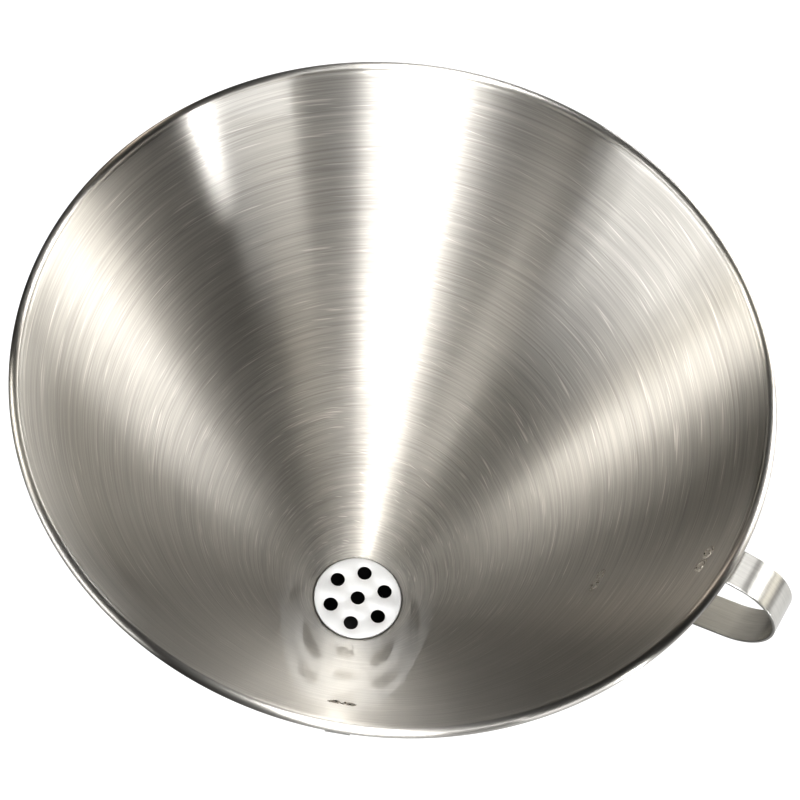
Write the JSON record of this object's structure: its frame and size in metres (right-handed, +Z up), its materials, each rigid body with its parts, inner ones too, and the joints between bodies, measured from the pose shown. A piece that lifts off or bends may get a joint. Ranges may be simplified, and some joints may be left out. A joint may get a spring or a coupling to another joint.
{
  "type": "kitchen funnel",
  "caption": "Large stainless steel funnel with a wide, nearly 60 degree cone, narrow tapered spout, lift-out perforated strainer, strap handle and hanging hook.",
  "frame": {"origin": "on the cone's axis in the plane of the neck, where the cone ends and the spout begins; a jar or bottle mouth holds the funnel there", "axes": "+Z up along the cone's axis, towards the open rim; +X towards the strap handle"},
  "size_m": [0.2706, 0.25, 0.2521],
  "materials": {
    "cone_steel": "stainless sheet, brushed round the cone with scattered fine scratches",
    "spout_steel": "stainless sheet, brushed round the tube",
    "strainer_steel": "pale satin stainless",
    "strap_steel": "stainless strip, brushed along its length",
    "weld_steel": "plain weld metal, slightly duller than the sheet"
  },
  "bodies": {
    "funnel": {"cone_body": "cone_steel", "spout_tube": "spout_steel", "neck_weld_bead": "weld_steel", "handle_strap": "strap_steel", "hanging_hook": "strap_steel", "handle_upper_weld_1": "weld_steel", "handle_upper_weld_2": "weld_steel", "handle_lower_weld_1": "weld_steel", "handle_lower_weld_2": "weld_steel", "hook_weld_1": "weld_steel", "hook_weld_2": "weld_steel"},
    "strainer": {"strainer_cup": "strainer_steel"}
  },
  "joints": [
    {"name": "strainer_lift", "type": "slide", "parent": "funnel", "child": "strainer", "axis": [0, 0, 1], "range_m": [0, 0.2]}
  ]
}
